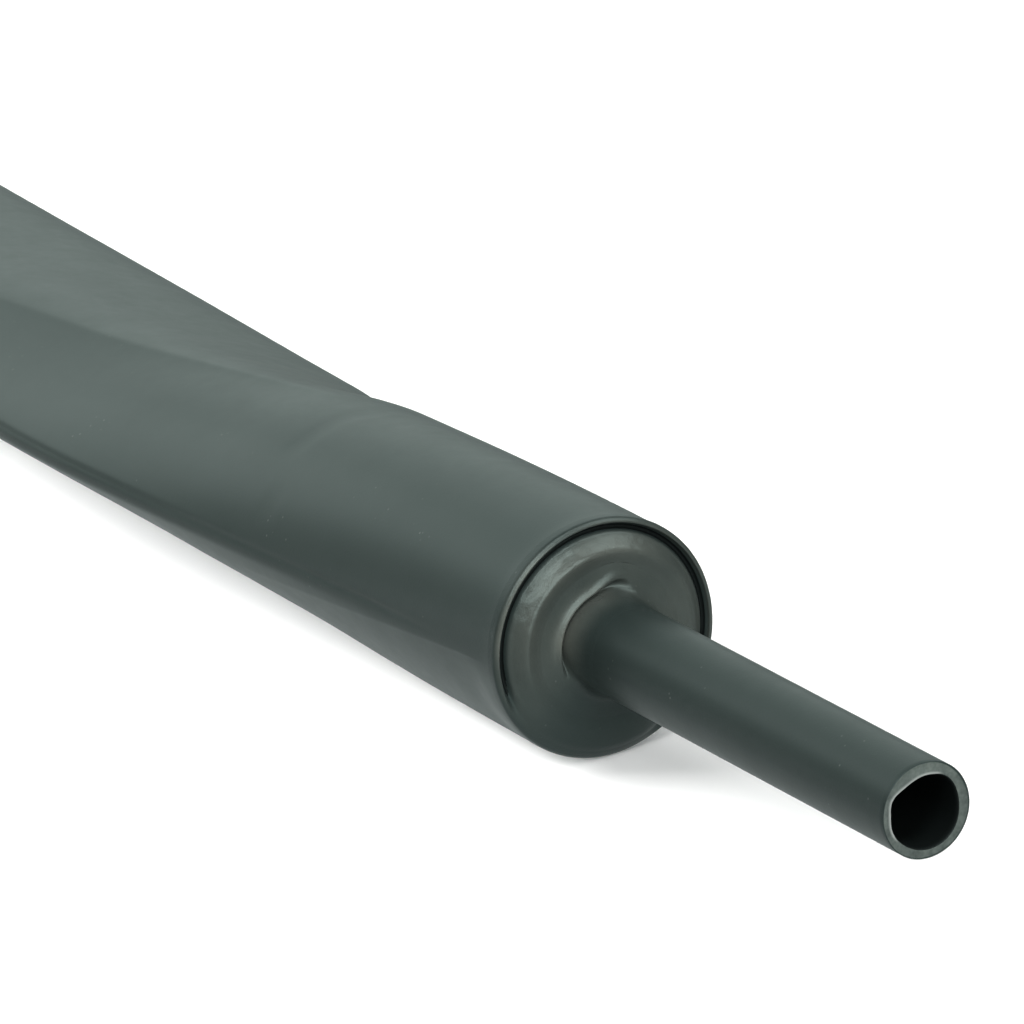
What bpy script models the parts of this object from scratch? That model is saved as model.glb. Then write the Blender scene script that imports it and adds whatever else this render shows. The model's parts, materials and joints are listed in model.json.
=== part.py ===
# A cut length of shrink tubing, one end already shrunk to its narrow size.
# Metres, +Z up. The tube's axis runs along +X towards the narrow mouth.

import math

import bmesh
import bpy
import numpy as np

MM = 0.001

# As supplied: outside diameter and wall of the wide tube
WIDE_DIAMETER = 19.6 * MM
WIDE_WALL = 0.30 * MM

# After shrinking: outside diameter and bore of the neck
NECK_DIAMETER = 7.7 * MM
NECK_BORE = 6.0 * MM

# Lengths along the axis from the shoulder
NECK_LENGTH = 48.0 * MM
WIDE_LENGTH = 250.0 * MM

# The wide tube is pressed nearly flat away from the shoulder, with a crease down each side.
# PRESS_SHARE is 0 for a round tube and 1 for one pressed quite flat.
PRESS_SHARE = 0.505
PRESS_START = 2.0 * MM
PRESS_LENGTH = 80.0 * MM
CREASE_WIDTH = 1.0 * MM

# The tube's own slight bend to one side
BEND_START = 62.0 * MM
BEND_LENGTH = 24.0 * MM
BEND_SLOPE = 0.061

# Shoulder relief, each height or depth measured along the axis from the shoulder plane
LIP_WIDTH = 0.30 * MM
GROOVE_DEPTH = 0.25 * MM
ROLL_HEIGHT = 0.45 * MM
FACE_HEIGHT = 0.22 * MM
RING_HEIGHT = 0.62 * MM
RING_DIAMETER = 9.7 * MM
SHOULDER_WALL = 0.70 * MM

# 46 is even but no multiple of four: a corner lies on each crease and a facet on the underside
SIDES = 46
RING_STEP = 5.0 * MM

WIDE_RADIUS = WIDE_DIAMETER / 2
WIDE_BORE_RADIUS = WIDE_RADIUS - WIDE_WALL
MID_RADIUS = WIDE_RADIUS - WIDE_WALL / 2
NECK_RADIUS = NECK_DIAMETER / 2
NECK_BORE_RADIUS = NECK_BORE / 2
QUARTER = math.pi / 2 * MID_RADIUS


def clear_scene():
    for obj in list(bpy.data.objects):
        bpy.data.objects.remove(obj, do_unlink=True)


def smooth(t):
    t = min(max(t, 0.0), 1.0)
    return t * t * (3 - 2 * t)


def press_at(behind):
    """How far the section is pressed, at a distance behind the shoulder."""
    return PRESS_SHARE * smooth((behind - PRESS_START) / PRESS_LENGTH)


def bend_at(behind):
    """(offset, slope) of a bend of slope 1, eased in over BEND_LENGTH."""
    t = (behind - BEND_START) / BEND_LENGTH
    if t <= 0:
        return 0.0, 0.0
    if t >= 1:
        return BEND_LENGTH * (t - 0.5), 1.0
    return BEND_LENGTH * (t**3 - t**4 / 2), t * t * (3 - 2 * t)


def quarter_line(share):
    """The wall's middle line from a crease to the top, its length unchanged by the pressing."""
    along = np.linspace(0, QUARTER, 601)
    eased = np.clip(along / CREASE_WIDTH, 0, 1)
    eased = eased * eased * (3 - 2 * eased)
    turn = math.pi / 2 * ((1 - share) * along / QUARTER + share * eased)
    step = along[1] - along[0]
    inward = np.concatenate([[0], np.cumsum((np.sin(turn[1:]) + np.sin(turn[:-1])) / 2 * step)])
    upward = np.concatenate([[0], np.cumsum((np.cos(turn[1:]) + np.cos(turn[:-1])) / 2 * step)])
    return along, turn, inward[-1] - inward, upward


def pressed(share, side, radius):
    """(sideways, up) of the point that lay at this angle and radius on the round tube."""
    along, turn, sideways, upward = quarter_line(share)
    side = side % (2 * math.pi)
    folded = min(side % math.pi, math.pi - side % math.pi)
    reach = folded * MID_RADIUS
    angle = np.interp(reach, along, turn)
    off = radius - MID_RADIUS
    across = np.interp(reach, along, sideways) + off * math.cos(angle)
    up = np.interp(reach, along, upward) + off * math.sin(angle)
    if math.pi / 2 < side < 3 * math.pi / 2:
        across = -across
    if side > math.pi:
        up = -up
    return across, up


def underside(share):
    """How far the lowest facet lies below the middle of the section."""
    half = math.pi / SIDES
    return -pressed(share, 1.5 * math.pi - half, WIDE_RADIUS)[1]


ROUND_HEIGHT = underside(0.0)
FLAT_HEIGHT = underside(PRESS_SHARE)
DROP_SLOPE = (ROUND_HEIGHT - FLAT_HEIGHT) / bend_at(WIDE_LENGTH)[0]


def wide_stations():
    """Distances behind the shoulder where the wide tube has a ring, from the shoulder back."""
    last = BEND_START + BEND_LENGTH
    first = PRESS_START + 2 * MM
    count = round((last - first) / RING_STEP)
    rings = [first + (last - first) * i / count for i in range(count + 1)]
    return [PRESS_START] + rings + [WIDE_LENGTH]


def outer_line():
    """The outside from the mouth back to the far end, as (distance ahead of the shoulder, radius)."""
    ring = RING_DIAMETER / 2
    lip = WIDE_RADIUS - LIP_WIDTH
    face = (WIDE_RADIUS + ring) / 2 - 1.1 * MM
    line = [
        (NECK_LENGTH, NECK_RADIUS),
        (RING_HEIGHT + 1.6 * MM, NECK_RADIUS),
        (RING_HEIGHT + 0.6 * MM, NECK_RADIUS + 0.06 * MM),
        (RING_HEIGHT, NECK_RADIUS + 0.28 * MM),
        (RING_HEIGHT - 0.22 * MM, NECK_RADIUS + 0.55 * MM),
        (RING_HEIGHT - 0.06 * MM, ring - 0.18 * MM),
        (RING_HEIGHT, ring),
        (RING_HEIGHT - 0.10 * MM, ring + 0.25 * MM),
        (FACE_HEIGHT + 0.06 * MM, ring + 0.75 * MM),
        (FACE_HEIGHT, face),
        (ROLL_HEIGHT - 0.10 * MM, face + 0.9 * MM),
        (ROLL_HEIGHT, WIDE_RADIUS - 1.9 * MM),
        (ROLL_HEIGHT - 0.05 * MM, WIDE_RADIUS - 1.35 * MM),
        (ROLL_HEIGHT - 0.27 * MM, WIDE_RADIUS - 0.80 * MM),
        (-GROOVE_DEPTH / 2, lip - 0.22 * MM),
        (-GROOVE_DEPTH, lip - 0.08 * MM),
        (-0.05 * MM, lip + 0.05 * MM),
        (0.0, WIDE_RADIUS - 0.13 * MM),
        (-0.10 * MM, WIDE_RADIUS - 0.03 * MM),
        (-0.35 * MM, WIDE_RADIUS),
    ]
    return line + [(-behind, WIDE_RADIUS) for behind in wide_stations()]


def inner_line():
    """The bore from the far end forward to the mouth."""
    back = FACE_HEIGHT - SHOULDER_WALL
    line = [(-behind, WIDE_BORE_RADIUS) for behind in reversed(wide_stations())]
    return line + [
        (back - 0.75 * MM, WIDE_BORE_RADIUS - 0.02 * MM),
        (back - 0.30 * MM, WIDE_BORE_RADIUS - 0.28 * MM),
        (back + 0.05 * MM, WIDE_BORE_RADIUS - 1.0 * MM),
        (back, RING_DIAMETER / 2),
        (back + 0.15 * MM, NECK_BORE_RADIUS + 0.55 * MM),
        (back + 0.55 * MM, NECK_BORE_RADIUS + 0.12 * MM),
        (back + 1.30 * MM, NECK_BORE_RADIUS),
        (NECK_LENGTH, NECK_BORE_RADIUS),
    ]


def turned_tube(name):
    """Turns the wall's outline about the X axis with a Screw modifier, as one closed body."""
    outline = outer_line() + inner_line()
    mesh = bpy.data.meshes.new(name)
    points = [(ahead, radius, 0.0) for ahead, radius in outline]
    edges = [(i, (i + 1) % len(points)) for i in range(len(points))]
    mesh.from_pydata(points, edges, [])
    obj = bpy.data.objects.new(name, mesh)
    bpy.context.scene.collection.objects.link(obj)
    screw = obj.modifiers.new("Turn", "SCREW")
    screw.axis = "X"
    screw.angle = 2 * math.pi
    screw.steps = SIDES
    screw.render_steps = SIDES
    screw.use_merge_vertices = True
    screw.merge_threshold = 0.00001
    screw.use_smooth_shade = False
    graph = bpy.context.evaluated_depsgraph_get()
    solid = bpy.data.meshes.new_from_object(obj.evaluated_get(graph))
    obj.modifiers.clear()
    obj.data = solid
    return obj


def press_flat(mesh):
    """Presses the wide tube down behind the shoulder, and bends it to lie along the floor."""
    for vertex in mesh.vertices:
        ahead, y, z = vertex.co
        behind = max(-ahead, 0.0)
        side = math.atan2(z, y)
        radius = math.hypot(y, z)
        across, up = y, z
        if behind > PRESS_START:
            across, up = pressed(press_at(behind), side, radius)
        offset, slope = bend_at(behind)
        yaw = math.atan(slope * BEND_SLOPE)
        pitch = math.atan(slope * DROP_SLOPE)
        backward = np.array([-math.cos(pitch) * math.cos(yaw), math.cos(pitch) * math.sin(yaw), -math.sin(pitch)])
        level = np.array([math.sin(yaw), math.cos(yaw), 0.0])
        upright = np.cross(level, backward)
        middle = np.array([ahead, offset * BEND_SLOPE, -offset * DROP_SLOPE])
        vertex.co = middle + across * level + up * upright


def centre_on_floor(mesh):
    """Puts the origin at the middle of the underside of the bounding box."""
    points = np.array([vertex.co[:] for vertex in mesh.vertices])
    low = points.min(axis=0)
    high = points.max(axis=0)
    for vertex, point in zip(mesh.vertices, points):
        vertex.co = point - np.array([(low[0] + high[0]) / 2, (low[1] + high[1]) / 2, low[2]])


def face_outward(mesh):
    shape = bmesh.new()
    shape.from_mesh(mesh)
    bmesh.ops.recalc_face_normals(shape, faces=shape.faces[:])
    bmesh.ops.triangulate(shape, faces=shape.faces[:], quad_method="SHORT_EDGE")
    shape.to_mesh(mesh)
    shape.free()


def dark_polyolefin():
    material = bpy.data.materials.new("polyolefin")
    material.use_nodes = True
    shader = material.node_tree.nodes["Principled BSDF"]
    shader.inputs["Base Color"].default_value = (0.045, 0.048, 0.050, 1.0)
    shader.inputs["Roughness"].default_value = 0.42
    shader.inputs["Metallic"].default_value = 0.0
    material.diffuse_color = (0.045, 0.048, 0.050, 1.0)
    return material


def main():
    clear_scene()
    collection = bpy.data.collections.new("heat shrink tube")
    bpy.context.scene.collection.children.link(collection)
    tube = turned_tube("heat_shrink_tube")
    press_flat(tube.data)
    centre_on_floor(tube.data)
    face_outward(tube.data)
    tube.data.materials.clear()
    tube.data.materials.append(dark_polyolefin())
    bpy.context.scene.collection.objects.unlink(tube)
    collection.objects.link(tube)


main()
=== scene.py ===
# Visual model of a cut length of shrink tubing, one end already shrunk to its narrow size.
# Metres, +Z up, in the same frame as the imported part.

import json
import math

import bpy
import numpy as np
from bpy.props import FloatProperty, FloatVectorProperty, PointerProperty
from mathutils import Matrix, Vector, noise


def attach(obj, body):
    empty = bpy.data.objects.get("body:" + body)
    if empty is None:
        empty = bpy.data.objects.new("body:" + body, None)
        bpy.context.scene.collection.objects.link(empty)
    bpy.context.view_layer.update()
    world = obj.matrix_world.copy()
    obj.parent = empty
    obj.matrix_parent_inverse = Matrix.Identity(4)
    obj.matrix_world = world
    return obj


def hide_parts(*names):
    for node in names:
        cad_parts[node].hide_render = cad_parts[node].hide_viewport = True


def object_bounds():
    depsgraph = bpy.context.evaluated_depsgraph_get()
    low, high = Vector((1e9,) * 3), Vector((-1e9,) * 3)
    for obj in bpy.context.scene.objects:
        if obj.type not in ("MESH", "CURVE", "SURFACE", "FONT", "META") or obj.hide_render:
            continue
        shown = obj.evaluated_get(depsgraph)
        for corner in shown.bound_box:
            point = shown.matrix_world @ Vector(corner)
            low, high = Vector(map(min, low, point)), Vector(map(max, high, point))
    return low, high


bl_info = {
    "name": "Shrunk Tube",
    "version": (1, 0, 0),
    "blender": (4, 5, 0),
    "location": "3D View > Sidebar > Tube",
    "description": "A shrink tube with a creased wide length, a shoulder and a narrow neck",
    "category": "Object",
}

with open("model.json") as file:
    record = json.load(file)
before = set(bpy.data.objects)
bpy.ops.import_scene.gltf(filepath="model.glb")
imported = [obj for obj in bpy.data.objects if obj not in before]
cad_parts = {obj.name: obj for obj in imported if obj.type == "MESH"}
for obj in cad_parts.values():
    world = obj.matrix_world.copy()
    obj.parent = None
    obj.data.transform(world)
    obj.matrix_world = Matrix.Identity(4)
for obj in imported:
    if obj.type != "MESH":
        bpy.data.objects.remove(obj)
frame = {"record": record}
CAD_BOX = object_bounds()

MM = 0.001
NODE = "heat_shrink_tube"

# Angles round a section are 0 at the far crease, 90 at the top, 180 at the near crease, 270 below
UNDERSIDE = 270.0

# How much wider than the bore the cut face's inner rings are, in millimetres
MOUTH_RADII = (0.09, 0.15, 0.29)

# Radius at which the shoulder's face is lowest, in millimetres
FACE_RADIUS = 6.2

# Points in a quarter of the section, and how strongly they crowd towards the creases
QUARTER_COUNT = 64
CREASE_CROWDING = 1.35

# Rings of the shoulder from the neck to its face, and from the face to the wall
ROOT_RINGS = 66
RIM_RINGS = 58

# The slanting line: its first and last side in degrees, the degrees it runs round in each millimetre,
# where it starts behind the shoulder and how softly it begins, in millimetres
LINE_SIDE = 74.0
LINE_LAST_SIDE = 150.0
LINE_RUN = 0.87
LINE_PLACE = 41.0
LINE_FADE = 13.0

# Sides in degrees between which the other facets lie
FAR_FACET_SIDE = 4.0
UPPER_FACET_SIDE = 174.0
LOWER_FACET_SIDES = (178.0, 231.0)
LOWER_FACET_RUN = 0.38

# The pinch's side and spread in degrees, and its half length in millimetres
PINCH_SIDE = 18.0
PINCH_SPREAD = 40.0
PINCH_LENGTH = 8.0

# The fine line's side in degrees and its width in millimetres
FINE_LINE_SIDE = 176.8
FINE_LINE_WIDTH = 0.26

# Cross wrinkles: place behind the shoulder in millimetres, first and last side, width in millimetres
WRINKLES = ((38.8, 84, 128, 0.8), (36.5, 146, 163, 0.7))

# Pushes of the squeezed mouth: side and spread in degrees, and share of the whole depth
SQUEEZES = ((112, 30, 0.62), (152, 16, -0.55), (74, 22, 0.35), (0, 40, 0.60), (195, 24, -0.35))

# Order of the materials on the mesh. The bore's near black is painted shade, and so is the neck's darker
# copy of the skin
SKIN, SHOULDER, BORE_AND_GROOVE_SHADE, CUT, NECK_SHADED = range(5)

# Each soft light's place from the shoulder on the floor, its width and its depth, in metres
LIGHTS = {
    "left": ((-0.45, -0.50, 0.60), 0.6, 0.6),
    "front": ((0.80, -0.10, 0.35), 0.6, 0.6),
    "side": ((0.33, 0.48, 0.68), 0.5, 0.5),
    "near": ((-0.14, -0.03, 0.06), 0.05, 0.05),
    "over": ((0.45, -0.30, 0.68), 1.0, 0.2),
    "floor": ((-0.28, -0.22, 0.18), 0.3, 0.3),
}

# How far the long light over the camera is turned in its own plane, in degrees
OVER_TURN = 52.0

# Length of wall behind the shoulder that is built with close rings, in millimetres
SEEN_LENGTH = 128.0

# Distances from the tube's axis between which the floor's light on the tube falls off, in millimetres
GLOW_RANGE = (14.0, 28.0)

# Width of the narrow bands of wall beside the far end's sharp edges, in millimetres
END_BAND = 0.2


def size(name, value, note):
    return FloatProperty(
        name=name, description=note, default=value * MM, min=0.0, unit="LENGTH", precision=5
    )


def share(name, value, note):
    return FloatProperty(name=name, description=note, default=value, min=0.0, max=1.0, subtype="FACTOR")


def colour(name, value, note):
    return FloatVectorProperty(
        name=name, description=note, default=value, size=4, min=0.0, max=1.0, subtype="COLOR"
    )


def power(name, value, note):
    return FloatProperty(name=name, description=note, default=value, min=0.0, unit="POWER")


def tilt(name, degrees, note):
    return FloatProperty(name=name, description=note, default=math.radians(degrees), subtype="ANGLE")


class TubeSizes(bpy.types.PropertyGroup):
    wide_diameter: size("Wide diameter", 19.6, "Outside diameter of the tube as supplied")
    wide_wall: size("Wide wall", 0.30, "Wall of the tube as supplied")
    neck_diameter: size("Neck diameter", 7.7, "Outside diameter once shrunk")
    neck_bore: size("Neck bore", 6.0, "Bore once shrunk")
    neck_length: size("Neck length", 48.0, "From the shoulder to the mouth")
    wide_length: size("Wide length", 250.0, "From the shoulder to the far end")
    press_share: share("Pressed", 0.505, "How flat the far length is pressed, 0 for round")
    press_start: size("Press start", 2.0, "Where the flattening starts, behind the shoulder")
    press_length: size("Press length", 80.0, "Length over which the tube flattens")
    crease_width: size("Crease width", 0.8, "Length of wall that turns over at a crease")
    crease_softening: share("Crease softening", 1.0, "How much wider the creases are towards the far end")
    bend_start: size("Bend start", 62.0, "Where the tube starts to bend, behind the shoulder")
    bend_length: size("Bend length", 24.0, "Length over which it bends")
    bend_slope: FloatProperty(
        name="Bend slope", description="Sideways slope of the far length", default=0.061, subtype="NONE"
    )


class TubeRelief(bpy.types.PropertyGroup):
    roll_height: size("Roll height", 0.82, "Height of the roll inside the shoulder's groove")
    face_height: size("Face height", 0.60, "Height of the dished face")
    ring_height: size("Ring height", 0.95, "Height of the ring at the neck's root")
    ring_diameter: size("Ring diameter", 9.0, "Diameter of that ring's crest")
    ring_drift: size("Ring drift", 1.5, "How far the ring runs outward as it fades over the top")
    root_length: size("Root length", 5.0, "Length over which the neck flares into the shoulder")
    groove_depth: size("Groove depth", 0.72, "Depth of the groove inside the lip")
    lip_flare: size("Lip flare", 0.10, "How far the lip stands out from the wall")
    shoulder_wall: size("Shoulder wall", 0.70, "Wall of the shoulder")
    roll_wrinkle: size("Roll wrinkle", 0.060, "Height of the fine wrinkles on the roll")
    facet_flatness: share("Facet flatness", 0.5, "How flat the wall is up to the slanting line")
    upper_flatness: share("Upper flatness", 0.55, "How flat the wall is from that line to the near crease")
    dip_depth: size("Dip depth", 0.16, "Depth of the hollow along the slanting line")
    dip_width: size("Dip width", 2.6, "Distance from the line to the bottom of that hollow")
    pinch_depth: size("Pinch depth", 0.34, "Depth of the pinch where the far crease begins")
    pinch_place: size("Pinch place", 54.5, "Where that pinch is, behind the shoulder")
    lower_flatness: share("Lower flatness", 0.5, "How flat the round wall is below the near crease")
    line_depth: size("Line depth", 0.10, "Depth of the fine line above the near crease")
    waviness: size("Waviness", 0.03, "Height of the slow waves in the thin wall")
    wrinkle_depth: size("Wrinkle depth", 0.07, "Depth of the faint cross wrinkles")
    cut_rounding: size("Cut rounding", 0.26, "Rounding of the outer edge of the mouth, at its far side")
    cut_burr: size("Cut burr", 0.13, "Height of the burr that the knife left along the bore's edge")
    cut_flat: size("Cut flat", 0.45, "How far the bore is squeezed in at one side of the mouth")


class TubeLook(bpy.types.PropertyGroup):
    skin: colour("Skin", (0.020, 0.027, 0.026, 1.0), "Satin dark grey of the wall")
    skin_pale: colour("Skin, paler", (0.031, 0.038, 0.036, 1.0), "Paler patches and scuffs")
    # Painted highlight and shade: this pale grey shows on the roll, ring and lip where the light catches
    # them, and less low down; partly the shrunk face's real paler grey
    shoulder_pale_and_glint: colour("Shoulder, paler", (0.142, 0.140, 0.124, 1.0), "Rubbed grey of the shoulder")
    # Painted highlight: this pale grey shows along the burr at the bore's edge, where the light catches it
    burr: colour("Burr", (0.34, 0.34, 0.33, 1.0), "Pale torn edge of the cut")
    cut: colour("Cut face", (0.115, 0.130, 0.118, 1.0), "Matt grey of the cut end")
    # Painted shade: this near black stands for the shade inside the bore and in the shoulder's groove
    bore: colour("Bore", (0.004, 0.005, 0.005, 1.0), "Unlit black of the bore")
    dust: colour("Dust", (0.30, 0.31, 0.29, 1.0), "Fine dust on the wall")
    gloss_tint: colour("Gloss tint", (0.86, 1.0, 0.97, 1.0), "Faint green of the skin's gloss")
    roughness: share("Roughness", 0.36, "Roughness of the skin")
    cut_roughness: share("Cut roughness", 0.8, "Roughness of the cut face")


class StageLook(bpy.types.PropertyGroup):
    floor: colour("Floor", (0.93, 0.85, 0.865, 1.0), "Plain pale floor, as the camera sees it")
    floor_bounce: colour("Floor bounce", (0.10, 0.105, 0.105, 1.0), "How the floor lights the tube")
    bounce_glow: share("Bounce glow", 0.04, "Light that the far floor gives the tube")
    near_glow: share("Near glow", 0.42, "Light that the floor close by gives the tube")
    floor_glow: share("Floor glow", 0.12, "Light that the floor gives the camera even in shadow")
    floor_side: size("Floor side", 6000.0, "Side of the floor")
    light_tint: colour("Light tint", (0.92, 1.0, 0.98, 1.0), "Colour of the soft lights")
    sky_tint: colour("Sky tint", (0.86, 1.0, 0.95, 1.0), "Colour of the room's light")
    left_power: power("Left light", 1.2, "Power of the softbox up on the left")
    front_power: power("Front light", 5.4, "Power of the softbox ahead of the mouth")
    over_power: power("Over light", 4.6, "Power of the long softbox over the camera")
    side_power: power("Side light", 2.6, "Power of the softbox past the far side")
    near_power: power("Near light", 0.0045, "Power of the small softbox by the wide end")
    floor_power: power("Floor light", 4.2, "Power of the softbox for the floor alone")
    sky_even: share("Even sky", 0.12, "Strength of the even light all round")
    sky_back: share("Far sky", 0.5, "Strength of the pale wall behind the tube's far side")
    sky_left: share("Left sky", 0.5, "Strength of the pale wall past the wide end")
    elevation: tilt("Camera elevation", 20.264, "Angle above the floor")
    azimuth: tilt("Camera azimuth", 27.635, "Angle off the tube's axis")
    roll: tilt("Camera roll", -5.987, "Turn about the line of sight")
    distance: size("Camera distance", 944.09, "From its target")
    lens: FloatProperty(name="Lens", description="Focal length", default=421.875, unit="CAMERA")
    target_behind: size("Target behind", 13.142, "How far behind the shoulder the camera aims")
    target_height: size("Target height", 16.926, "How far above the floor the camera aims")


# The tube's form, as it is turned, pressed and bent


def smooth(t):
    t = np.clip(t, 0.0, 1.0)
    return t * t * (3 - 2 * t)


def bell(t):
    return np.exp(-np.asarray(t) ** 2)


def mid_radius(sizes):
    return (sizes.wide_diameter - sizes.wide_wall) / 2


def quarter(sizes):
    """Length of the wall's middle line from a crease to the top."""
    return math.pi / 2 * mid_radius(sizes)


def press_at(sizes, behind):
    return sizes.press_share * float(smooth((behind - sizes.press_start) / sizes.press_length))


def bend_at(sizes, behind):
    """(offset, slope) of a bend of slope 1, eased in over the bend's length."""
    t = (behind - sizes.bend_start) / sizes.bend_length
    if t <= 0:
        return 0.0, 0.0
    if t >= 1:
        return sizes.bend_length * (t - 0.5), 1.0
    return sizes.bend_length * (t**3 - t**4 / 2), t * t * (3 - 2 * t)


def crease_at(sizes, behind):
    """Length of wall that turns over at a crease: the fold is softer towards the far end."""
    softened = float(smooth((behind - 72 * MM) / (32 * MM)))
    return sizes.crease_width * (1 + sizes.crease_softening * softened)


def quarter_line(sizes, pressed, crease):
    """The wall's middle line from a crease to the top, its length unchanged by the pressing."""
    along = np.linspace(0, quarter(sizes), 801)
    eased = smooth(along / crease)
    turn = math.pi / 2 * ((1 - pressed) * along / along[-1] + pressed * eased)
    step = along[1] - along[0]
    inward = np.concatenate([[0], np.cumsum((np.sin(turn[1:]) + np.sin(turn[:-1])) / 2 * step)])
    upward = np.concatenate([[0], np.cumsum((np.cos(turn[1:]) + np.cos(turn[:-1])) / 2 * step)])
    return along, turn, inward[-1] - inward, upward


def section(sizes, behind, sides, radii):
    """(sideways, up) of the points that lay at these angles and radii on the round tube."""
    along, turn, sideways, upward = quarter_line(sizes, press_at(sizes, behind), crease_at(sizes, behind))
    half = sides % math.pi
    reach = np.minimum(half, math.pi - half) * mid_radius(sizes)
    angle = np.interp(reach, along, turn)
    off = radii - mid_radius(sizes)
    across = np.interp(reach, along, sideways) + off * np.cos(angle)
    up = np.interp(reach, along, upward) + off * np.sin(angle)
    across = np.where((sides > math.pi / 2) & (sides < 3 * math.pi / 2), -across, across)
    up = np.where(sides > math.pi, -up, up)
    return across, up


def drop_slope(sizes):
    """Slope at which the far length comes down to the floor."""
    below = np.array([math.radians(UNDERSIDE)])
    radius = np.array([sizes.wide_diameter / 2])
    flat = -section(sizes, sizes.wide_length, below, radius)[1][0]
    return (radius[0] - flat) / bend_at(sizes, sizes.wide_length)[0]


def ring_sides():
    """Angles round the section, closest together at the two creases."""
    count = QUARTER_COUNT
    part = (np.arange(count) / count) ** CREASE_CROWDING * math.pi / 2
    back = math.pi - (np.arange(1, count + 1) / count) ** CREASE_CROWDING * math.pi / 2
    first = np.concatenate([part, back[::-1]])
    return np.concatenate([first, first + math.pi])


def through(points, spacing):
    """Points along a smooth curve through the given ones, no further apart than the spacing."""
    points = np.array(points)
    ends = np.concatenate([[2 * points[0] - points[1]], points, [2 * points[-1] - points[-2]]])
    out = []
    for a, b, c, d in zip(ends[:-3], ends[1:-2], ends[2:-1], ends[3:]):
        count = max(2, math.ceil(np.linalg.norm(c - b) / spacing))
        for t in np.arange(count) / count:
            curved = (2 * a - 5 * b + 4 * c - d) * t**2 + (3 * b - a - 3 * c + d) * t**3
            out.append(0.5 * (2 * b + (c - a) * t + curved))
    return np.array(out + [points[-1]])


def steps(start, stop, spacing):
    count = max(1, round(abs(stop - start) / spacing))
    return [start + (stop - start) * i / count for i in range(count)]


def resample(points, count):
    """The same smooth line with this many points, evenly spaced."""
    line = through(np.array(points) * MM, 0.05 * MM)
    length = np.concatenate([[0], np.cumsum(np.linalg.norm(np.diff(line, axis=0), axis=1))])
    at = np.linspace(0, length[-1], count)
    return np.stack([np.interp(at, length, line[:, 0]), np.interp(at, length, line[:, 1])], axis=1)


def root_lines(sizes, relief):
    """(ahead, radius) from the neck to the face, with the ring and without it."""
    neck = sizes.neck_diameter / 2 / MM
    ring = relief.ring_diameter / 2 / MM
    high = relief.ring_height / MM
    face = relief.face_height / MM
    start = relief.root_length / MM
    flare = [
        (start, neck),
        (start - 1.4, neck + 0.03),
        (start - 2.4, neck + 0.10),
        (start - 3.2, neck + 0.19),
    ]
    ringed = flare + [
        (1.10, neck + 0.25),
        (0.70, neck + 0.27),
        (0.34, neck + 0.33),
        (0.36, ring - 0.20),
        (high - 0.07, ring - 0.09),
        (high, ring),
        (high - 0.05, ring + 0.14),
        (high - 0.22, ring + 0.45),
        (face + 0.05, ring + 0.95),
        (face, FACE_RADIUS),
    ]
    plain = flare + [
        (1.40, neck + 0.38),
        (1.08, neck + 0.66),
        (0.86, neck + 1.00),
        (0.73, neck + 1.50),
        (face + 0.06, neck + 2.0),
        (face, FACE_RADIUS),
    ]
    return ringed, plain


def rim_lines(sizes, relief):
    """(ahead, radius) from the face to the wall, with the groove and without it."""
    wide = sizes.wide_diameter / 2 / MM
    roll = relief.roll_height / MM
    face = relief.face_height / MM
    deep = relief.groove_depth / MM
    grooved = [
        (face, FACE_RADIUS),
        (face + 0.05, wide - 3.20),
        (roll - 0.06, wide - 2.75),
        (roll, wide - 2.45),
        (roll - 0.10, wide - 2.20),
        (roll - 0.30, wide - 1.95),
        (roll - 0.56, wide - 1.68),
        (roll - 0.82, wide - 1.40),
        (roll - 1.04, wide - 1.12),
        (-deep + 0.12, wide - 0.90),
        (-deep, wide - 0.76),
        (-deep + 0.06, wide - 0.62),
        (-deep + 0.26, wide - 0.52),
        (-0.08, wide - 0.44),
        (-0.02, wide - 0.36),
        (-0.08, wide - 0.26),
        (-0.30, wide - 0.05),
        (-0.60, wide),
    ]
    plain = [
        (face, FACE_RADIUS),
        (face + 0.04, wide - 3.10),
        (face + 0.05, wide - 2.60),
        (face + 0.03, wide - 2.10),
        (face - 0.02, wide - 1.70),
        (face - 0.12, wide - 1.30),
        (face - 0.28, wide - 0.95),
        (face - 0.50, wide - 0.65),
        (face - 0.78, wide - 0.38),
        (face - 1.00, wide - 0.18),
        (-0.62, wide - 0.05),
        (-0.90, wide),
    ]
    return grooved, plain


def between(degrees, low, high, ease):
    """1 inside a range of angles, easing to 0 at both ends."""
    middle = (low + high) / 2
    away = np.abs((degrees - middle + 180) % 360 - 180)
    return smooth(((high - low) / 2 + ease / 2 - away) / ease)


def shoulder_rings(sizes, relief, sides):
    """The outside of the shoulder from the neck to the wall, as (ahead, radius) at each angle."""
    degrees = np.degrees(sides)
    ring_share = between(degrees, 68, 196, 40)[None, :]
    groove_share = (0.12 + 0.88 * between(degrees, -58, 200, 36))[None, :]
    ringed, plain = (resample(line, ROOT_RINGS) for line in root_lines(sizes, relief))
    grooved, bare = (resample(line, RIM_RINGS) for line in rim_lines(sizes, relief))
    rows = []
    for strong, weak, mix in ((ringed, plain, ring_share), (grooved[1:], bare[1:], groove_share)):
        rows.append(strong[:, None, :] * mix[..., None] + weak[:, None, :] * (1 - mix[..., None]))
    line = np.concatenate(rows)
    ahead, radius = line[..., 0], line[..., 1]
    neck = sizes.neck_diameter / 2
    share_out = np.clip((radius - neck) / (FACE_RADIUS * MM + 0.2 * MM - neck), 0, 1)
    drift = relief.ring_drift * smooth((108 - np.where(degrees > 270, 0, degrees)) / 46)
    drift = np.where(degrees > 196, 0, drift)
    radius = radius + drift * ring_share * np.sin(math.pi * share_out) * smooth((share_out - 0.02) / 0.2)
    flare = relief.lip_flare * bell((ahead + 0.25 * MM) / (0.9 * MM)) * groove_share
    radius = radius + np.where(radius > sizes.wide_diameter / 2 - 0.5 * MM, flare, 0)
    return ahead, radius


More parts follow.
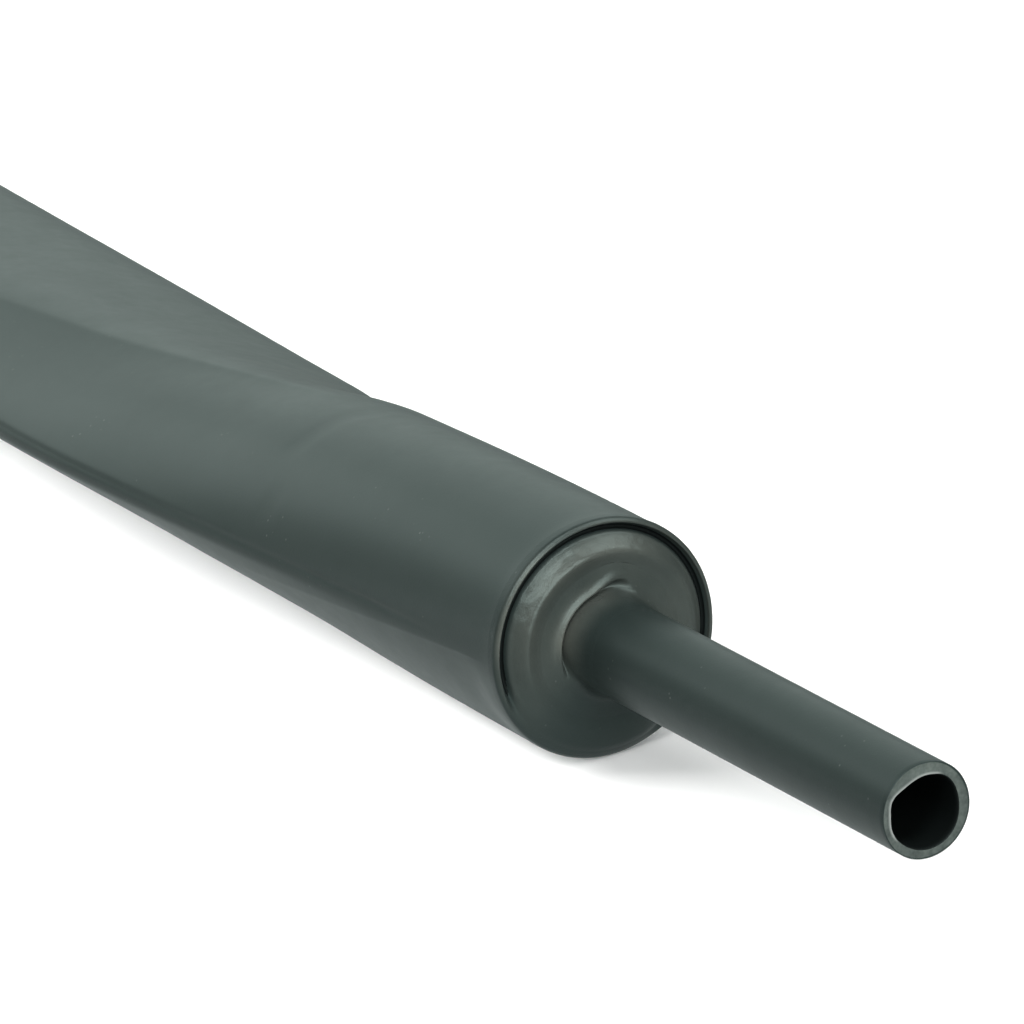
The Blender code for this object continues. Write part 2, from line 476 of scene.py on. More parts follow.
def mouth_edge(sizes, relief, sides):
    """The outer edge of the cut: well rounded at its far side and below, and nearly sharp elsewhere."""
    neck = sizes.neck_diameter / 2
    rounding = relief.cut_rounding * (0.3 + 0.7 * between(np.degrees(sides), -105, 50, 60))
    return [
        (sizes.neck_length - rounding * (1 - math.sin(a)), neck - rounding * (1 - math.cos(a)))
        for a in np.radians([90, 70, 50, 30, 10])
    ]


def neck_steps(sizes, relief):
    return steps(sizes.neck_length - relief.cut_rounding - 0.3 * MM, relief.root_length + 1 * MM, 1.4 * MM)


def wall_steps(sizes):
    seen = SEEN_LENGTH * MM
    beside_end = sizes.wide_length - END_BAND * MM
    close = steps(1.3 * MM, seen, 1.1 * MM)
    return close + steps(seen, beside_end, 5 * MM) + [beside_end, sizes.wide_length]


def inner_line(sizes, relief):
    """The bore from the far end forward to the mouth's cut face."""
    bore = sizes.neck_bore / 2
    wide = sizes.wide_diameter / 2 - sizes.wide_wall
    back = relief.face_height - relief.shoulder_wall
    beside_end = sizes.wide_length - END_BAND * MM
    behind = [sizes.wide_length] + steps(beside_end, 90 * MM, 8 * MM) + steps(90 * MM, 2 * MM, 4 * MM)
    turn_in = through(
        [
            (back - 1.50 * MM, wide - 0.02 * MM),
            (back - 1.15 * MM, wide - 0.20 * MM),
            (back - 0.92 * MM, wide - 0.55 * MM),
            (back - 0.48 * MM, wide - 1.2 * MM),
            (back, wide - 2.0 * MM),
            (back, relief.ring_diameter / 2),
            (back + 0.15 * MM, bore + 0.55 * MM),
            (back + 0.55 * MM, bore + 0.12 * MM),
            (back + 1.30 * MM, bore),
        ],
        0.4 * MM,
    )
    ahead = steps(back + 2.5 * MM, sizes.neck_length - 4 * MM, 4 * MM)
    ahead += steps(sizes.neck_length - 4 * MM, sizes.neck_length - 0.09 * MM, 0.5 * MM)
    mouth = [(sizes.neck_length - 0.09 * MM, bore)]
    mouth += [(sizes.neck_length, bore + wider * MM) for wider in MOUTH_RADII]
    return [(-b, wide) for b in behind] + list(map(tuple, turn_in)) + [(a, bore) for a in ahead] + mouth


def slow_noise(x, y, z, scale, seed):
    at = Vector((x / scale + seed, y / scale - seed, z / scale + 0.5 * seed))
    return noise.noise(at)


def flat_facet(degrees, start, stop, flatness, curvature, reach, edge=1.3):
    """Brings the curved wall between two angles part of the way to a flat face."""
    t = np.clip((degrees - start) / (stop - start), 0, 1)
    arc = math.radians(stop - start) * reach
    return -flatness * np.sin(math.pi * t) ** edge * arc**2 / 8 * curvature


def pressed_relief(sizes, relief, behind, degrees):
    """The flat facets, the slanting line's hollow, the pinch, the fine line and the cross wrinkles."""
    reach = mid_radius(sizes)
    place = behind / MM
    curvature = (1 - press_at(sizes, behind)) / reach
    line = min(LINE_SIDE + LINE_RUN * max(place - LINE_PLACE, 0), LINE_LAST_SIDE)
    begun = float(smooth((place - LINE_PLACE) / LINE_FADE))
    rise = flat_facet(degrees, FAR_FACET_SIDE, line, relief.facet_flatness * begun, curvature, reach)
    beyond = np.maximum(np.radians(degrees - line) * reach, 0) / relief.dip_width
    rise -= begun * relief.dip_depth * beyond * np.exp(1 - beyond) * smooth((178 - degrees) / 22)
    pinch = max(0.0, 1 - abs(behind - relief.pinch_place) / (PINCH_LENGTH * MM)) ** 1.3
    rise -= relief.pinch_depth * pinch * bell(((degrees - PINCH_SIDE + 180) % 360 - 180) / PINCH_SPREAD)
    flatness = relief.lower_flatness * float(smooth((place - 1) / 5) * (1 - smooth((place - 24) / 28)))
    start, stop = LOWER_FACET_SIDES
    start += LOWER_FACET_RUN * min(place, 50)
    rise += flat_facet(degrees, start, stop, flatness, 1 / reach, reach, edge=0.8)
    flatness = relief.upper_flatness * float(smooth((place - 60) / 30))
    rise += flat_facet(degrees, line, UPPER_FACET_SIDE, flatness, curvature, reach)
    fine = float(smooth((place - 8) / 12))
    off_line = np.radians(degrees - FINE_LINE_SIDE) * reach / (FINE_LINE_WIDTH * MM)
    rise -= relief.line_depth * fine * bell(off_line)
    for at, low, high, width in WRINKLES:
        rise -= relief.wrinkle_depth * between(degrees, low, high, 14) * bell((place - at) / width)
    return rise


def wall_relief(sizes, relief, behind, sides, radius):
    """How far the wall stands proud of its plain form at each angle of one ring."""
    rise = np.zeros(len(sides))
    if behind > 0:
        rise += pressed_relief(sizes, relief, behind, np.degrees(sides))
    amount = relief.waviness if behind > 0 else relief.waviness * 0.3
    for i, side in enumerate(sides):
        y = radius * math.cos(side)
        z = radius * math.sin(side)
        rise[i] += amount * slow_noise(behind * 0.4, y, z, 11 * MM, 3.1)
        rise[i] += amount * 0.25 * slow_noise(behind * 0.6, y, z, 4 * MM, 8.7)
    return rise


def shoulder_relief(sizes, relief, ahead, sides, radius):
    """Fine wrinkles that the shrinking left on the roll, and slower lumps on the face."""
    wide = sizes.wide_diameter / 2
    on_roll = bell((radius - (wide - 1.7 * MM)) / (0.8 * MM)) * between(np.degrees(sides), 40, 165, 40)
    rise = np.zeros(len(sides))
    for i, side in enumerate(sides):
        y = radius[i] * math.cos(side)
        z = radius[i] * math.sin(side)
        fine = slow_noise(ahead[i], y, z, 0.9 * MM, 5.5) + 0.5 * slow_noise(ahead[i], y, z, 0.5 * MM, 1.7)
        lump = slow_noise(ahead[i], y, z, 3.0 * MM, 2.2)
        rise[i] = relief.roll_wrinkle * ((on_roll[i] + 0.1) * fine + (0.3 * on_roll[i] + 0.2) * lump)
    return rise


def mouth_squeeze(sizes, relief, ahead, sides):
    """How far the bore is pushed in near the mouth, where the cut left it a little flat."""
    degrees = np.degrees(sides)
    near = float(smooth((ahead - (sizes.neck_length - 9 * MM)) / (9 * MM)))
    push = np.zeros(len(sides))
    for middle, width, amount in SQUEEZES:
        push += amount * bell(((degrees - middle + 180) % 360 - 180) / width)
    return near * relief.cut_flat * push


def burr_and_glint_share(sizes, radius, sides):
    """How much of the burr stands at this radius of the cut face: it runs along the bore's near edge. The
    same share also sets the burr's painted highlight.
    """
    on_burr = float(bell((radius - sizes.neck_bore / 2 - 0.14 * MM) / (0.07 * MM)))
    return on_burr * between(np.degrees(sides), 62, 208, 16)


def rub_and_glint_share(sizes, relief, ahead, radius, sides):
    """How far the surface shows the paler colour: partly the shrunk face's real rubbed paleness,
    partly painted highlight on the roll, the ring and the lip where the light catches them, with painted
    shade low down and at the neck's root.
    """
    degrees = np.degrees(sides)[None, :]
    wide = sizes.wide_diameter / 2
    off_neck = 1 - smooth((ahead - 0.9 * MM) / (3.2 * MM))
    off_wall = smooth((ahead + 0.5 * MM) / (0.5 * MM))
    # Face: partly real paler grey, and darker low down, which is painted shade
    face = 0.34 * (1 - between(degrees, 205, 305, 70))
    # Painted highlight along the roll, strongest near the top
    roll = 0.66 * bell((radius - wide + 2.1 * MM) / (0.8 * MM)) * between(degrees, 55, 172, 40)
    roll *= 0.4 + 0.6 * between(degrees, 88, 132, 40)
    # Painted highlight on the ring's crest, on its upper side
    ring = 0.66 * bell((radius - relief.ring_diameter / 2) / (0.6 * MM)) * between(degrees, 90, 175, 30)
    # Painted highlight on the lip, on its upper near side
    lip = bell((radius - wide + 0.3 * MM) / (0.24 * MM)) * between(degrees, 118, 172, 24)
    return np.clip(off_neck * off_wall * (face + roll + ring) + lip * (ahead > -0.6 * MM), 0, 1)


def tube_rings(sizes, relief):
    """Every ring of the closed wall as (ahead, radius) at each angle, and how many are outside."""
    sides = ring_sides()
    rings = mouth_edge(sizes, relief, sides)
    for ahead in neck_steps(sizes, relief):
        radius = sizes.neck_diameter / 2
        rise = wall_relief(sizes, relief, -ahead, sides, radius)
        off_mouth = float(smooth((sizes.neck_length - ahead) / (2 * MM)))
        rings.append((np.full(len(sides), ahead), radius + rise * off_mouth))
    for ahead, radius in zip(*shoulder_rings(sizes, relief, sides)):
        out_of_neck = smooth((radius - sizes.neck_diameter / 2) / (0.3 * MM))
        rise = shoulder_relief(sizes, relief, ahead, sides, radius) * out_of_neck
        rings.append((ahead + rise, radius))
    for behind in wall_steps(sizes):
        radius = sizes.wide_diameter / 2
        off_lip = float(smooth((behind - 0.6 * MM) / (3 * MM)))
        rise = wall_relief(sizes, relief, behind, sides, radius) * off_lip
        flare = relief.lip_flare * float(bell((behind - 0.25 * MM) / (0.9 * MM)))
        rings.append((np.full(len(sides), -behind), radius + rise + flare))
    outer_count = len(rings)
    for ahead, radius in inner_line(sizes, relief):
        rise = np.zeros(len(sides))
        place = np.full(len(sides), ahead)
        if ahead > 1 * MM:
            rise = -mouth_squeeze(sizes, relief, ahead, sides)
            place += relief.cut_burr * burr_and_glint_share(sizes, radius, sides)
        elif ahead < -1 * MM:
            rise = wall_relief(sizes, relief, -ahead, sides, radius)
        rings.append((place, radius + rise))
    return sides, rings, outer_count


def placed(sizes, drop, ahead, across, up):
    """Points of the straight pressed tube, bent sideways and down to the floor."""
    out = np.empty((len(ahead), 3))
    for i, (a, s, u) in enumerate(zip(ahead, across, up)):
        offset, slope = bend_at(sizes, max(-a, 0.0))
        yaw = math.atan(slope * sizes.bend_slope)
        pitch = math.atan(slope * drop)
        backward = (-math.cos(pitch) * math.cos(yaw), math.cos(pitch) * math.sin(yaw), -math.sin(pitch))
        level = (math.sin(yaw), math.cos(yaw), 0.0)
        upright = np.cross(level, backward)
        middle = np.array([a, offset * sizes.bend_slope, -offset * drop])
        out[i] = middle + s * np.array(level) + u * upright
    return out


def tube_points(sizes, relief):
    sides, rings, outer_count = tube_rings(sizes, relief)
    drop = drop_slope(sizes)
    rows = []
    for ahead, radii in rings:
        behind = max(-float(np.mean(ahead)), 0.0)
        if behind > sizes.press_start:
            across, up = section(sizes, behind, sides, radii)
        else:
            across, up = radii * np.cos(sides), radii * np.sin(sides)
        rows.append(placed(sizes, drop, ahead, across, up))
    return sides, rings, np.array(rows), outer_count


def frame_shift(sizes, points):
    """Moves the tube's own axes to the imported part's: it knows the box's middle and the floor."""
    low, high = CAD_BOX
    ahead = high[0] - sizes.neck_length
    own_low = points[..., 1].min()
    own_high = points[..., 1].max()
    side = (low[1] + high[1]) / 2 - (own_low + own_high) / 2
    return np.array([ahead, side, low[2] - points[..., 2].min()])


def material_zones(sizes, relief, ahead, places, radii):
    """Index of the material at each point of each ring, outside first and then inside."""
    ring_count = len(ahead)
    outer_count, around = places.shape
    outside = np.arange(ring_count) < outer_count
    root = relief.root_length - 0.2 * MM
    on_shoulder = (ahead > -1.0 * MM) & (ahead < root) & outside
    zone = np.full(ring_count, SKIN, dtype=np.int32)
    zone[outer_count - 1 :] = BORE_AND_GROOVE_SHADE
    zone[on_shoulder] = SHOULDER
    zone[(ahead >= root) & outside] = NECK_SHADED
    zone[ring_count - len(MOUTH_RADII) :] = CUT
    zone[outer_count - 1] = CUT
    zones = np.repeat(zone[:, None], around, axis=1)
    # The groove's floor gets the bore's near black: painted shade
    in_groove = (places < -0.5 * MM) & (radii < sizes.wide_diameter / 2 - 0.5 * MM)
    zones[:outer_count][in_groove & on_shoulder[:outer_count, None]] = BORE_AND_GROOVE_SHADE
    return zones


def tube_mesh(name, sizes, relief):
    """The closed wall, ring after ring, with attributes for the burr's painted highlight and for the
    shoulder's paleness with painted highlight and shade, and its materials' places.
    """
    sides, rings, rows, outer_count = tube_points(sizes, relief)
    shift = frame_shift(sizes, rows)
    ring_count, around = rows.shape[:2]
    verts = (rows + shift).reshape(-1, 3)
    ring = np.arange(ring_count)[:, None]
    step = np.arange(around)[None, :]
    a = ring * around + step
    b = ring * around + (step + 1) % around
    c = (ring + 1) % ring_count * around + (step + 1) % around
    d = (ring + 1) % ring_count * around + step
    faces = np.stack([a, b, c, d], axis=-1).reshape(-1, 4)
    mesh = bpy.data.meshes.new(name)
    mesh.from_pydata(verts.tolist(), [], faces.tolist())
    # The burr's painted highlight, as a share for the cut's colour
    burr = np.zeros((ring_count, around), dtype=np.float32)
    for row, plain_radius in zip(range(ring_count - len(MOUTH_RADII), ring_count), MOUTH_RADII):
        burr[row] = burr_and_glint_share(sizes, sizes.neck_bore / 2 + plain_radius * MM, sides)
    mesh.attributes.new("burr", "FLOAT", "POINT").data.foreach_set("value", burr.ravel())
    rub = np.zeros((ring_count, around), dtype=np.float32)
    places = np.array([np.broadcast_to(r[0], around) for r in rings[:outer_count]])
    radii = np.array([np.broadcast_to(r[1], around) for r in rings[:outer_count]])
    rub[:outer_count] = rub_and_glint_share(sizes, relief, places, radii, sides)
    mesh.attributes.new("rub", "FLOAT", "POINT").data.foreach_set("value", rub.ravel())
    ahead = np.array([np.mean(r[0]) for r in rings])
    zones = material_zones(sizes, relief, ahead, places, radii)
    mesh.polygons.foreach_set("material_index", zones.ravel())
    mesh.polygons.foreach_set("use_smooth", np.ones(len(faces), dtype=bool))
    mesh.validate()
    mesh.update()
    return mesh


# Shader node groups: each puts out only masks and heights


class Nodes:
    """Short calls for laying out one node tree."""

    def __init__(self, tree):
        self.tree = tree

    def add(self, kind, **settings):
        node = self.tree.nodes.new(kind)
        for key, value in settings.items():
            setattr(node, key, value)
        return node

    def put(self, source, target):
        self.tree.links.new(source, target)

    def math(self, operation, first, second=None, clamp=False):
        node = self.add("ShaderNodeMath", operation=operation, use_clamp=clamp)
        for socket, value in zip(node.inputs, (first, second)):
            if value is None:
                continue
            if isinstance(value, (int, float)):
                socket.default_value = value
            else:
                self.put(value, socket)
        return node.outputs[0]

    def spread(self, value, low, high, new_low=0.0, new_high=1.0, ease="LINEAR"):
        node = self.add("ShaderNodeMapRange", clamp=True, interpolation_type=ease)
        self.put(value, node.inputs["Value"])
        limits = {"From Min": low, "From Max": high, "To Min": new_low, "To Max": new_high}
        for name, number in limits.items():
            node.inputs[name].default_value = number
        return node.outputs["Result"]

    def noise(self, vector, scale, detail=2.0, rough=0.5):
        node = self.add("ShaderNodeTexNoise")
        self.put(vector, node.inputs["Vector"])
        if isinstance(scale, (int, float)):
            node.inputs["Scale"].default_value = scale
        else:
            self.put(scale, node.inputs["Scale"])
        node.inputs["Detail"].default_value = detail
        node.inputs["Roughness"].default_value = rough
        return node.outputs["Fac"]


def new_group(name, output, **defaults):
    """(tree, nodes helper, group input, group output) of a group that takes a vector and these numbers."""
    tree = bpy.data.node_groups.new(name, "ShaderNodeTree")
    tree.interface.new_socket(name="Vector", in_out="INPUT", socket_type="NodeSocketVector")
    for label, default in defaults.items():
        socket = tree.interface.new_socket(name=label, in_out="INPUT", socket_type="NodeSocketFloat")
        socket.default_value = default
    tree.interface.new_socket(name=output, in_out="OUTPUT", socket_type="NodeSocketFloat")
    nodes = Nodes(tree)
    return tree, nodes, nodes.add("NodeGroupInput"), nodes.add("NodeGroupOutput")


def make_mottle():
    """Slow cloudy variation at two scales."""
    tree, nodes, given, out = new_group("Mottle", "Mask", Scale=220.0, Contrast=1.0)
    large = nodes.noise(given.outputs["Vector"], given.outputs["Scale"], 3.0, 0.55)
    finer = nodes.math("MULTIPLY", given.outputs["Scale"], 4.3)
    small = nodes.noise(given.outputs["Vector"], finer, 2.0, 0.5)
    mixed = nodes.math("ADD", nodes.math("MULTIPLY", large, 0.65), nodes.math("MULTIPLY", small, 0.35))
    centred = nodes.math("SUBTRACT", mixed, 0.5)
    strong = nodes.math("MULTIPLY", centred, given.outputs["Contrast"])
    nodes.put(nodes.math("ADD", strong, 0.5, clamp=True), out.inputs["Mask"])
    return tree


def make_die_lines():
    """Faint lines that the die left along the tube."""
    tree, nodes, given, out = new_group("Die Lines", "Height", Scale=900.0, Stretch=0.02)
    parts = nodes.add("ShaderNodeSeparateXYZ")
    nodes.put(given.outputs["Vector"], parts.inputs[0])
    joined = nodes.add("ShaderNodeCombineXYZ")
    nodes.put(nodes.math("MULTIPLY", parts.outputs["X"], given.outputs["Stretch"]), joined.inputs["X"])
    nodes.put(parts.outputs["Y"], joined.inputs["Y"])
    nodes.put(parts.outputs["Z"], joined.inputs["Z"])
    lines = nodes.noise(joined.outputs[0], given.outputs["Scale"], 3.0, 0.6)
    nodes.put(nodes.math("SUBTRACT", lines, 0.5), out.inputs["Height"])
    return tree


def make_grain():
    """Fine orange-peel grain of the plastic."""
    tree, nodes, given, out = new_group("Fine Grain", "Height", Scale=4200.0)
    grain = nodes.noise(given.outputs["Vector"], given.outputs["Scale"], 2.0, 0.5)
    nodes.put(nodes.math("SUBTRACT", grain, 0.5), out.inputs["Height"])
    return tree


def make_specks():
    """Sparse dust specks and short scuffs."""
    tree, nodes, given, out = new_group("Specks", "Mask", Scale=1500.0, Amount=0.3)
    cells = nodes.add("ShaderNodeTexVoronoi", feature="F1")
    nodes.put(given.outputs["Vector"], cells.inputs["Vector"])
    nodes.put(given.outputs["Scale"], cells.inputs["Scale"])
    dots = nodes.spread(cells.outputs["Distance"], 0.16, 0.05)
    wider = nodes.math("MULTIPLY", given.outputs["Scale"], 0.16)
    patch = nodes.noise(given.outputs["Vector"], wider, 2.0, 0.6)
    chosen = nodes.spread(patch, 0.56, 0.66)
    shown = nodes.math("MULTIPLY", dots, chosen)
    nodes.put(nodes.math("MULTIPLY", shown, given.outputs["Amount"]), out.inputs["Mask"])
    return tree


def group_node(nodes, tree, vector, **values):
    node = nodes.add("ShaderNodeGroup", node_tree=tree)
    nodes.put(vector, node.inputs["Vector"])
    for name, value in values.items():
        node.inputs[name].default_value = value
    return node


def mix_colour(nodes, factor, first, second):
    node = nodes.add("ShaderNodeMix", data_type="RGBA")
    nodes.put(factor, node.inputs["Factor"])
    slots = [s for s in node.inputs if s.type == "RGBA"]
    for socket, value in zip(slots, (first, second)):
        if isinstance(value, bpy.types.NodeSocket):
            nodes.put(value, socket)
        else:
            socket.default_value = value
    return [s for s in node.outputs if s.type == "RGBA"][0]


def new_material(name):
    material = bpy.data.materials.new(name)
    material.use_nodes = True
    nodes = Nodes(material.node_tree)
    shader = material.node_tree.nodes["Principled BSDF"]
    where = nodes.add("ShaderNodeTexCoord").outputs["Object"]
    return material, nodes, shader, where


def skin_material(
    name,
    look,
    groups,
    grain=1.0,
    pale=0.0,
    roughness=0.0,
    dust=0.3,
    gloss=0.5,
    dark=None,
    light=None,
    shows_rub_and_glint=False,
):
    """Satin dark plastic, with mottling, die lines, fine grain and a little dust.

    Where asked, the mesh's attribute for the rubbed paleness says how much of the lighter colour shows:
    partly real paleness, partly painted highlight and painted shade."""
    material, nodes, shader, where = new_material(name)
    mottle = group_node(nodes, groups["mottle"], where, Scale=190.0, Contrast=2.6)
    broad = group_node(nodes, groups["mottle"], where, Scale=45.0, Contrast=2.2)
    streaks = group_node(nodes, groups["lines"], where, Scale=700.0, Stretch=0.03)
    fine = group_node(nodes, groups["grain"], where, Scale=5200.0)
    specks = group_node(nodes, groups["specks"], where, Scale=1300.0, Amount=dust)
    small_clouds = nodes.math("MULTIPLY", mottle.outputs[0], 0.2)
    large_clouds = nodes.math("MULTIPLY", broad.outputs[0], 0.6)
    factor = nodes.math("ADD", small_clouds, large_clouds)
    factor = nodes.math("ADD", factor, nodes.math("MULTIPLY", streaks.outputs[0], 0.05))
    factor = nodes.math("ADD", factor, pale, clamp=True)
    # Painted highlight and shade: the attribute sets how much of the lighter colour shows, and makes it
    # glossier there
    if shows_rub_and_glint:
        rub = nodes.add("ShaderNodeAttribute", attribute_name="rub").outputs["Fac"]
        factor = nodes.math("MULTIPLY", factor, rub)
    base = mix_colour(nodes, factor, tuple(dark or look.skin), tuple(light or look.skin_pale))
    dusted = mix_colour(nodes, specks.outputs[0], base, tuple(look.dust))
    nodes.put(dusted, shader.inputs["Base Color"])
    clouded = nodes.math("MULTIPLY", mottle.outputs[0], 0.06)
    rough = nodes.math("ADD", look.roughness + roughness - 0.03, clouded)
    rough = nodes.math("ADD", rough, nodes.math("MULTIPLY", specks.outputs[0], 0.3), clamp=True)
    if shows_rub_and_glint:
        rough = nodes.math("SUBTRACT", rough, nodes.math("MULTIPLY", rub, 0.1), clamp=True)
    nodes.put(rough, shader.inputs["Roughness"])
    shader.inputs["Metallic"].default_value = 0.0
    shader.inputs["IOR"].default_value = 1.5
    shader.inputs["Specular Tint"].default_value = tuple(look.gloss_tint)
    shader.inputs["Specular IOR Level"].default_value = gloss
    line_height = nodes.math("MULTIPLY", streaks.outputs[0], 0.05)
    grain_height = nodes.math("MULTIPLY", fine.outputs[0], 0.35 * grain)
    height = nodes.math("ADD", line_height, grain_height)
    bump = nodes.add("ShaderNodeBump")
    bump.inputs["Strength"].default_value = 0.5
    bump.inputs["Distance"].default_value = 0.03 * MM
    nodes.put(height, bump.inputs["Height"])
    nodes.put(bump.outputs["Normal"], shader.inputs["Normal"])
    return material


def cut_material(name, look, groups):
    """Matt, slightly torn face that the knife left, with a painted highlight along the burr."""
    material, nodes, shader, where = new_material(name)
    mottle = group_node(nodes, groups["mottle"], where, Scale=900.0, Contrast=2.4)
    fine = group_node(nodes, groups["grain"], where, Scale=3800.0)
    base = mix_colour(nodes, mottle.outputs[0], tuple(look.skin_pale), tuple(look.cut))
    # Painted highlight along the burr, from the mesh's burr attribute
    burr = nodes.add("ShaderNodeAttribute", attribute_name="burr").outputs["Fac"]
    nodes.put(mix_colour(nodes, burr, base, tuple(look.burr)), shader.inputs["Base Color"])
    clouded = nodes.math("MULTIPLY", mottle.outputs[0], 0.2)
    rough = nodes.math("ADD", look.cut_roughness - 0.1, clouded, clamp=True)
    nodes.put(rough, shader.inputs["Roughness"])
    bump = nodes.add("ShaderNodeBump")
    bump.inputs["Strength"].default_value = 0.6
    bump.inputs["Distance"].default_value = 0.05 * MM
    nodes.put(fine.outputs[0], bump.inputs["Height"])
    nodes.put(bump.outputs["Normal"], shader.inputs["Normal"])
    return material


# Operators


class TUBE_OT_tube(bpy.types.Operator):
    """Builds the tube and its materials in place of the plain solid"""

    bl_idname = "tube.tube"
    bl_label = "Build Tube"

    def execute(self, context):
        scene = context.scene
        look = scene.tube_look
        groups = {
            "mottle": make_mottle(),
            "lines": make_die_lines(),
            "grain": make_grain(),
            "specks": make_specks(),
        }
        mesh = tube_mesh("shrink_tube_wall", scene.tube_sizes, scene.tube_relief)
        # The shoulder's lighter colour carries painted highlights on the roll, ring and lip, and painted
        # shade low down
        shoulder = {"grain": 2.4, "pale": 0.3, "gloss": 0.4, "light": look.shoulder_pale_and_glint, "shows_rub_and_glint": True}
        # The bore's and the groove's near black, with little gloss, is painted shade
        bore = {"pale": -0.6, "roughness": 0.2, "dust": 0.0, "gloss": 0.15, "dark": look.bore}
        # Painted shade: the neck is a darker, less glossy copy of the skin
        neck = {"pale": -0.4, "gloss": 0.34}
        materials = {
            SKIN: skin_material("polyolefin_skin", look, groups),
            SHOULDER: skin_material("polyolefin_shoulder", look, groups, **shoulder),
            BORE_AND_GROOVE_SHADE: skin_material("polyolefin_bore", look, groups, light=look.skin, **bore),
            CUT: cut_material("polyolefin_cut", look, groups),
            NECK_SHADED: skin_material("polyolefin_neck", look, groups, **neck),
        }
        for index in sorted(materials):
            mesh.materials.append(materials[index])
        tube = bpy.data.objects.new("shrink_tube_wall", mesh)
        scene.collection.objects.link(tube)
        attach(tube, "root")
        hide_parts(NODE)
        return {"FINISHED"}


def area_light(scene, name, place, aim, width, depth, power, tint):
    data = bpy.data.lights.new(name, "AREA")
    data.shape = "RECTANGLE"
    data.size = width
    data.size_y = depth
    data.energy = power
    data.color = tint
    light = bpy.data.objects.new(name, data)
    light.location = place
    light.visible_camera = False
    light.rotation_euler = (Vector(place) - Vector(aim)).to_track_quat("Z", "Y").to_euler()
    scene.collection.objects.link(light)
    return light


def floor_material(stage, side):
    """White to the camera, with soft shadows. Other rays see a grey floor that glows near the axis."""
    material, nodes, shader, where = new_material("pale_floor")
    seen = nodes.add("ShaderNodeLightPath").outputs["Is Camera Ray"]
    base = mix_colour(nodes, seen, tuple(stage.floor_bounce), tuple(stage.floor))
    nodes.put(base, shader.inputs["Base Color"])
    shader.inputs["Roughness"].default_value = 0.95
    shader.inputs["Emission Color"].default_value = tuple(stage.light_tint)
    parts = nodes.add("ShaderNodeSeparateXYZ")
    nodes.put(where, parts.inputs[0])
    away = nodes.math("ABSOLUTE", nodes.math("SUBTRACT", parts.outputs["Y"], side))
    start, stop = (distance * MM for distance in GLOW_RANGE)
    near = nodes.spread(away, start, stop, stage.near_glow, stage.bounce_glow, ease="SMOOTHSTEP")
    unseen = nodes.math("MULTIPLY", nodes.math("SUBTRACT", 1.0, seen), near)
    glow = nodes.math("ADD", unseen, nodes.math("MULTIPLY", seen, stage.floor_glow))
    nodes.put(glow, shader.inputs["Emission Strength"])
    return material


def studio_world(stage):
    """A quiet room with two pale walls, each bright towards its middle and fading all round."""
    world = bpy.data.worlds.new("studio")
    world.use_nodes = True
    nodes = Nodes(world.node_tree)
    sky = world.node_tree.nodes["Background"]
    where = nodes.add("ShaderNodeTexCoord").outputs["Generated"]
    walls = (
        ((-0.83, 0.43, 0.30), stage.sky_back),
        ((-0.95, -0.15, 0.25), stage.sky_left),
    )
    total = stage.sky_even
    for middle, strength in walls:
        facing = nodes.add("ShaderNodeVectorMath", operation="DOT_PRODUCT")
        nodes.put(where, facing.inputs[0])
        facing.inputs[1].default_value = Vector(middle).normalized()
        spread = nodes.spread(facing.outputs["Value"], 0.5, 1.0, ease="SMOOTHSTEP")
        total = nodes.math("ADD", nodes.math("MULTIPLY", spread, strength), total)
    nodes.put(total, sky.inputs["Strength"])
    sky.inputs["Color"].default_value = tuple(stage.sky_tint)
    return world


def build_floor(scene, stage, side):
    half = stage.floor_side / 2
    corners = [(-half, -half, 0), (half, -half, 0), (half, half, 0), (-half, half, 0)]
    mesh = bpy.data.meshes.new("floor")
    mesh.from_pydata(corners, [], [(0, 1, 2, 3)])
    mesh.materials.append(floor_material(stage, side))
    floor = bpy.data.objects.new("floor", mesh)
    floor.location = (0, 0, CAD_BOX[0][2])
    scene.collection.objects.link(floor)
    return floor


def build_lights(scene, stage, shoulder, floor):
    """The soft lights round the shoulder. The floor light falls on the floor alone."""
    tint = tuple(stage.light_tint)[:3]
    lights = {}
    for name, (place, width, depth) in LIGHTS.items():
        at = shoulder + Vector(place)
        strength = getattr(stage, f"{name}_power")
        lights[name] = area_light(scene, f"{name}_light", at, shoulder, width, depth, strength, tint)
    lights["over"].rotation_euler.rotate_axis("Z", math.radians(OVER_TURN))
    lit = bpy.data.collections.new("lit_by_floor_light")
    lit.objects.link(floor)
    lights["floor"].light_linking.receiver_collection = lit


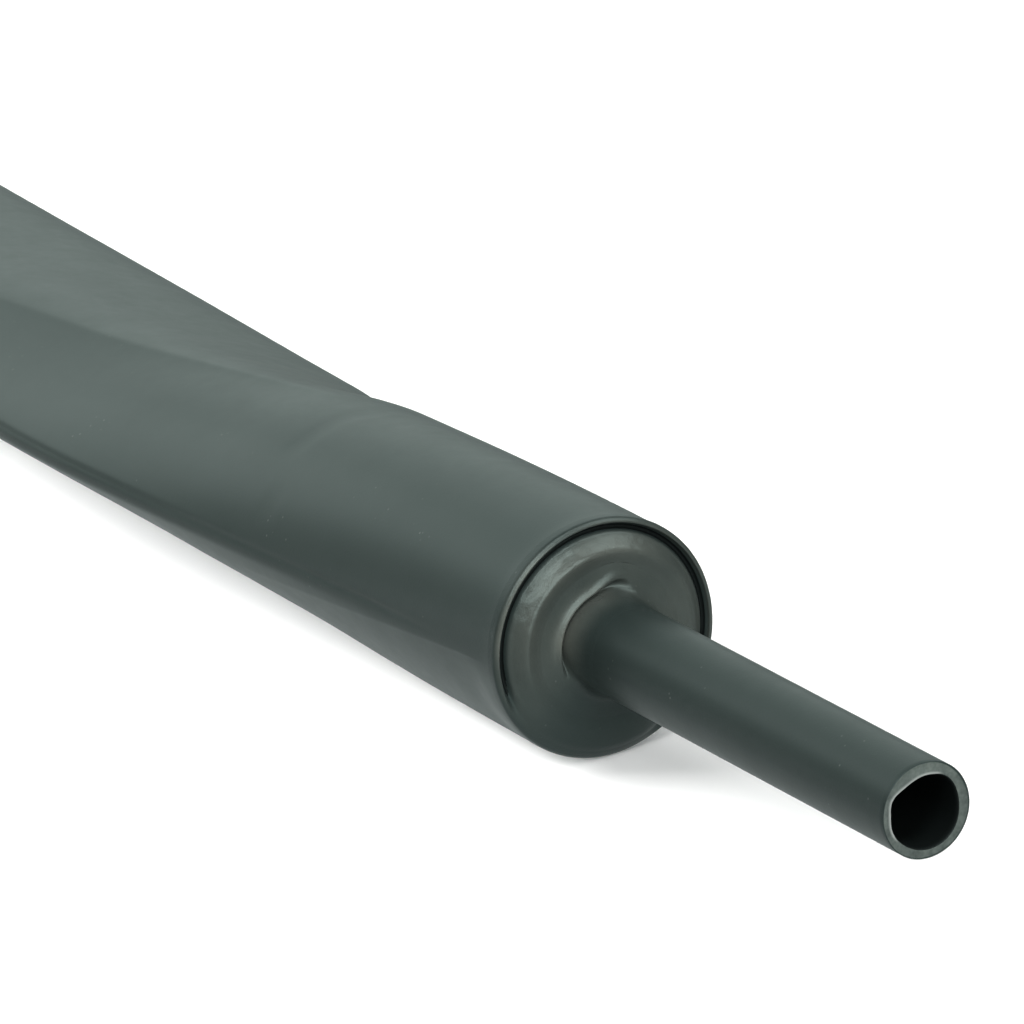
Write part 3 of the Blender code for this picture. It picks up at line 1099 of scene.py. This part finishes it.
def build_camera(scene, stage, shoulder):
    data = bpy.data.cameras.new("camera")
    data.lens = stage.lens
    data.sensor_width = 36.0
    data.clip_end = 20.0
    camera = bpy.data.objects.new("camera", data)
    toward = Vector(
        (
            math.cos(stage.elevation) * math.cos(stage.azimuth),
            -math.cos(stage.elevation) * math.sin(stage.azimuth),
            math.sin(stage.elevation),
        )
    )
    level = Vector((math.sin(stage.azimuth), math.cos(stage.azimuth), 0.0))
    upward = toward.cross(level)
    right = math.cos(stage.roll) * level + math.sin(stage.roll) * upward
    upward = toward.cross(right)
    target = shoulder + Vector((-stage.target_behind, 0.0, stage.target_height))
    turn = Matrix((right, upward, toward)).transposed().to_4x4()
    camera.matrix_world = Matrix.Translation(target + stage.distance * toward) @ turn
    scene.collection.objects.link(camera)
    scene.camera = camera


class TUBE_OT_stage(bpy.types.Operator):
    """Makes the floor, the soft lights, the room and the camera"""

    bl_idname = "tube.stage"
    bl_label = "Build Stage"

    def execute(self, context):
        scene = context.scene
        stage = scene.tube_stage
        low, high = CAD_BOX
        side = neck_side()
        shoulder = Vector((high[0] - scene.tube_sizes.neck_length, side, low[2]))
        floor = build_floor(scene, stage, side)
        build_lights(scene, stage, shoulder, floor)
        scene.world = studio_world(stage)
        scene.view_settings.view_transform = "Standard"
        build_camera(scene, stage, shoulder)
        return {"FINISHED"}


def neck_side():
    """Sideways place of the neck's axis in the part's frame."""
    record = frame["record"]
    underside = [m for m in record["mounts"] if m["name"] == "underside"]
    return underside[0]["pos_m"][1]


class TUBE_PT_panel(bpy.types.Panel):
    """Lists the tube's sizes, looks and operators"""

    bl_label = "Shrunk Tube"
    bl_idname = "TUBE_PT_panel"
    bl_space_type = "VIEW_3D"
    bl_region_type = "UI"
    bl_category = "Tube"

    def draw(self, context):
        layout = self.layout
        for operator in (TUBE_OT_tube, TUBE_OT_stage):
            layout.operator(operator.bl_idname)
        for group in ("tube_sizes", "tube_relief", "tube_look", "tube_stage"):
            box = layout.box()
            held = getattr(context.scene, group)
            for name in held.__annotations__:
                box.prop(held, name)


GROUPS = {
    "tube_sizes": TubeSizes,
    "tube_relief": TubeRelief,
    "tube_look": TubeLook,
    "tube_stage": StageLook,
}
CLASSES = (*GROUPS.values(), TUBE_OT_tube, TUBE_OT_stage, TUBE_PT_panel)


def register():
    for kind in CLASSES:
        bpy.utils.register_class(kind)
    for name, kind in GROUPS.items():
        setattr(bpy.types.Scene, name, PointerProperty(type=kind))


def unregister():
    for name in GROUPS:
        delattr(bpy.types.Scene, name)
    for kind in reversed(CLASSES):
        bpy.utils.unregister_class(kind)


def main():
    register()
    bpy.ops.tube.tube()
    bpy.ops.tube.stage()


if __name__ == "__main__":
    main()
